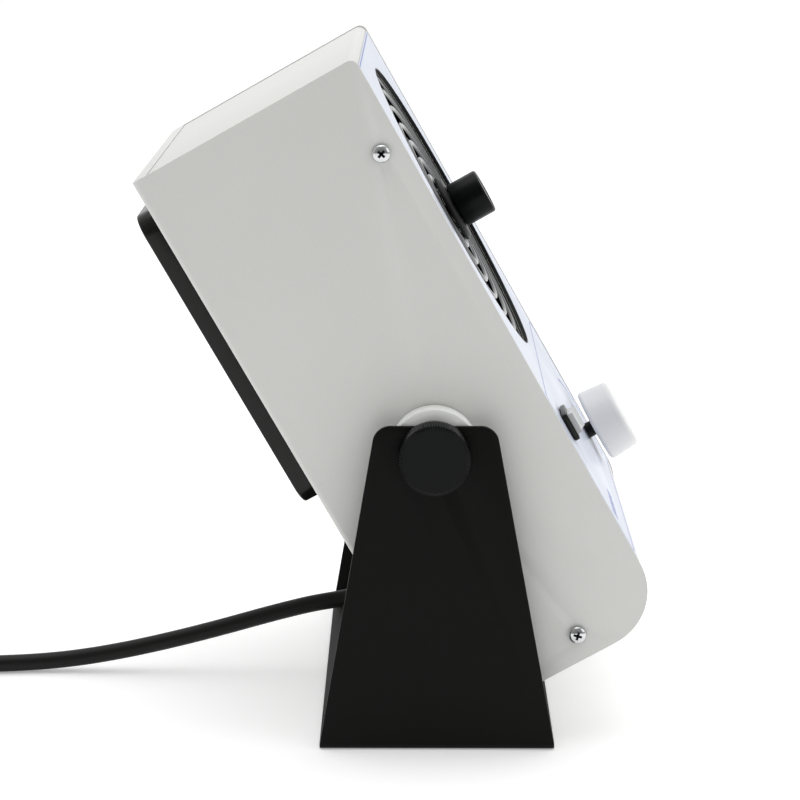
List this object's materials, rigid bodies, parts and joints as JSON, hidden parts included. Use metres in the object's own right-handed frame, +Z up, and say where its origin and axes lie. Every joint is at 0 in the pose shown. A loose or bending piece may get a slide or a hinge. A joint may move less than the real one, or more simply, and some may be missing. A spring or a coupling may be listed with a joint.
{
  "type": "benchtop fan unit on a tilting bracket",
  "caption": "Boxy benchtop fan unit with a round ring guard, centre knob, speed knob, rocker switch, rear clip-on filter, tilting U-shaped bracket with thumb knobs and a coiled mains lead.",
  "frame": {"origin": "middle of the underside of the bracket's base", "axes": "+Z up, the front and its guard face -Y, +X to the right of someone who faces the front from -Y"},
  "size_m": [0.2411, 0.3769, 0.237],
  "materials": {
    "powder_grey": "fine-textured warm light grey powder coat",
    "overlay": "printed satin polyester overlay, pale lavender white",
    "bracket_black": "satin black powder coat",
    "gloss_black": "glossy black moulded plastic",
    "knob_black": "satin black moulded plastic",
    "knob_pale": "pale cool grey moulded plastic",
    "rocker_pale": "glossy pale grey plastic",
    "nylon_white": "white nylon",
    "chrome": "bright chrome or nickel plate",
    "zinc": "zinc plated steel",
    "fan_black": "black glass-filled plastic",
    "motor_grey": "dark grey steel",
    "foam_black": "open-cell black foam",
    "board_green": "green circuit board laminate",
    "cord_black": "black cord jacket",
    "brass": "bright brass"
  },
  "bodies": {
    "stand": {"stand_bracket": "bracket_black", "spacer_left": "nylon_white", "spacer_right": "nylon_white", "power_cord": "cord_black", "cord_coil": "cord_black", "cord_tail": "cord_black", "plug_body": "cord_black", "plug_pin_line": "brass", "plug_pin_neutral": "brass", "plug_pin_earth": "brass"},
    "housing": {"rear_cover": "powder_grey", "front_chassis": "powder_grey", "front_overlay": "overlay", "housing_screw_left_upper": "chrome", "housing_screw_left_lower": "chrome", "housing_screw_right_upper": "chrome", "housing_screw_right_lower": "chrome", "pivot_nut_left": "zinc", "pivot_nut_right": "zinc", "finger_guard": "chrome", "guard_hub": "knob_black", "fan_frame": "fan_black", "fan_motor": "motor_grey", "fan_stud_1": "zinc", "fan_stud_2": "zinc", "fan_stud_3": "zinc", "fan_stud_4": "zinc", "filter_base": "gloss_black", "filter_foam": "foam_black", "speed_control": "motor_grey", "switch_body": "gloss_black", "circuit_board": "board_green", "board_standoff_1": "brass", "board_standoff_2": "brass", "board_standoff_3": "brass", "board_standoff_4": "brass", "power_module": "gloss_black", "strain_relief": "cord_black"},
    "thumb_knob_left": {"thumb_knob_left": "knob_black", "thumb_stud_left": "zinc"},
    "thumb_knob_right": {"thumb_knob_right": "knob_black", "thumb_stud_right": "zinc"},
    "fan_rotor": {"fan_rotor": "fan_black"},
    "centre_knob": {"centre_knob": "knob_black", "centre_shaft": "zinc"},
    "speed_knob": {"speed_knob": "knob_pale", "speed_shaft": "knob_black"},
    "rocker": {"rocker": "rocker_pale"},
    "filter_cover": {"filter_cover": "gloss_black"}
  },
  "joints": [
    {"name": "housing_tilt", "type": "hinge", "parent": "stand", "child": "housing", "pos_m": [0, 0.0012, 0.106], "axis": [1, 0, 0], "range_deg": [-60, 60], "deforming": ["power_cord"]},
    {"name": "thumb_knob_left_turn", "type": "hinge", "parent": "housing", "child": "thumb_knob_left", "pos_m": [-0.0861, 0.0012, 0.106], "axis": [-1, 0, 0], "range_deg": [0, 360]},
    {"name": "thumb_knob_right_turn", "type": "hinge", "parent": "housing", "child": "thumb_knob_right", "pos_m": [0.0861, 0.0012, 0.106], "axis": [1, 0, 0], "range_deg": [0, 360]},
    {"name": "fan_spin", "type": "hinge", "parent": "housing", "child": "fan_rotor", "pos_m": [0, -0.0064, 0.17736], "axis": [0, -0.8708, 0.4917], "continuous": true},
    {"name": "centre_knob_turn", "type": "hinge", "parent": "housing", "child": "centre_knob", "pos_m": [0, -0.0064, 0.17736], "axis": [0, -0.8708, 0.4917], "continuous": true},
    {"name": "speed_knob_turn", "type": "hinge", "parent": "housing", "child": "speed_knob", "pos_m": [0.038, -0.05886, 0.08444], "axis": [0, 0.8708, -0.4917], "range_deg": [-150, 150]},
    {"name": "rocker_tip", "type": "hinge", "parent": "housing", "child": "rocker", "pos_m": [-0.045, -0.04438, 0.10704], "axis": [0, 0.4917, 0.8708], "range_deg": [0, 24]},
    {"name": "filter_cover_pull", "type": "slide", "parent": "housing", "child": "filter_cover", "axis": [0, 0.8708, -0.4917], "range_m": [0, 0.02]}
  ]
}
